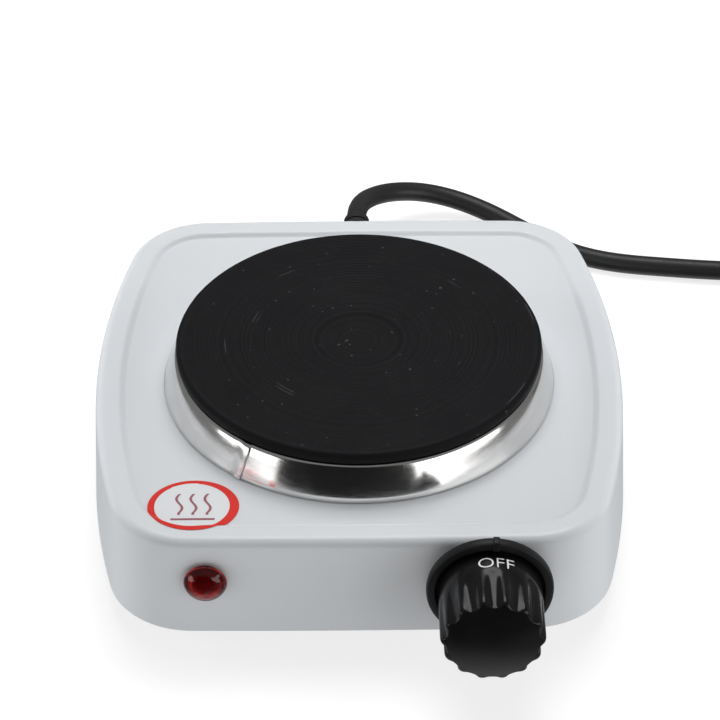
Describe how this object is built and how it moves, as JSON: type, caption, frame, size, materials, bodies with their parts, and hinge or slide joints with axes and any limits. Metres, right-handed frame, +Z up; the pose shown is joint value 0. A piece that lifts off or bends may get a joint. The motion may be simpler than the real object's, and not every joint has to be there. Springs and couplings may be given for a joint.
{
  "type": "electric hot plate",
  "caption": "Compact single-plate electric hot plate: enamelled casing, cast heating plate with polished ring, turning thermostat knob, indicator lamp and mains lead.",
  "frame": {"origin": "on the table surface, under the middle of the appliance including its knob and without its mains lead", "axes": "+Z up out of the heating plate, -Y towards the knob and the user, +X to the user's right"},
  "size_m": [0.3413, 0.261, 0.05],
  "materials": {
    "enamel": "glossy white enamel with a slightly cool tone",
    "cast_plate": "black heat-proof coating over turned cast iron",
    "polished_steel": "mirror-polished stainless sheet",
    "zinc_steel": "zinc-plated sheet and fasteners",
    "brass": "bare brass contacts, terminals and pins",
    "black_plastic": "glossy black phenolic moulding",
    "red_lens": "clear red polycarbonate lens",
    "lamp_glass": "clear glass bulb",
    "black_rubber": "matte moulded rubber",
    "ceramic": "unglazed steatite",
    "mineral_fibre": "pressed mineral fibre board",
    "cord_pvc": "satin black PVC jacket",
    "wire_sleeve": "woven glass-fibre sleeve"
  },
  "bodies": {
    "casing": {"base_plate": "zinc_steel", "bimetal_strip": "brass", "bottom_cover": "zinc_steel", "bush_nut": "brass", "ceramic_front": "ceramic", "ceramic_middle": "ceramic", "clamp_bridge": "zinc_steel", "clamp_nut": "zinc_steel", "cord_clamp": "black_plastic", "cord_coil": "cord_pvc", "cord_end": "cord_pvc", "cord_tail": "cord_pvc", "cord_tie": "black_plastic", "earth_lug": "brass", "earth_screw": "brass", "fixed_contact": "brass", "foot_front_left": "black_rubber", "foot_front_right": "black_rubber", "foot_rear_left": "black_rubber", "foot_rear_right": "black_rubber", "foot_screw_front_left": "zinc_steel", "foot_screw_front_right": "zinc_steel", "foot_screw_rear_left": "zinc_steel", "foot_screw_rear_right": "zinc_steel", "heating_element": "zinc_steel", "heating_plate": "cast_plate", "housing": "enamel", "indicator_lens": "red_lens", "insulation_ring": "mineral_fibre", "knob_bezel": "black_plastic", "lamp_clip": "zinc_steel", "neon_lamp": "lamp_glass", "pillar_front_left": "zinc_steel", "pillar_front_right": "zinc_steel", "pillar_rear_left": "zinc_steel", "pillar_rear_right": "zinc_steel", "plate_stud": "zinc_steel", "plug_blade_left": "brass", "plug_blade_right": "brass", "plug_body": "cord_pvc", "plug_earth_pin": "brass", "power_cord": "cord_pvc", "stack_rivet": "zinc_steel", "strain_relief": "black_rubber", "terminal_block": "ceramic", "terminal_pin_inner": "brass", "terminal_pin_outer": "brass", "thermal_fuse": "zinc_steel", "thermostat_bush": "brass", "thermostat_frame": "zinc_steel", "trim_ring": "polished_steel", "wire_earth": "wire_sleeve", "wire_fused": "wire_sleeve", "wire_lamp": "wire_sleeve", "wire_link": "wire_sleeve", "wire_live": "wire_sleeve", "wire_neutral": "wire_sleeve"},
    "knob_set": {"knob": "black_plastic", "thermostat_spindle": "zinc_steel"},
    "contact_blade": {"contact_arm": "brass"}
  },
  "joints": [
    {"name": "knob_turn", "type": "hinge", "parent": "casing", "child": "knob_set", "pos_m": [0.0331, -0.0639, 0.025], "axis": [0, 1, 0], "range_deg": [0, 280]},
    {"name": "contact_press", "type": "hinge", "parent": "casing", "child": "contact_blade", "pos_m": [0.0226, -0.05385, 0.025], "axis": [0, 0, 1], "range_deg": [0, 2]}
  ],
  "couplings": [
    {"joint": "contact_press", "follows": "knob_turn", "ratio": 0.0071}
  ]
}
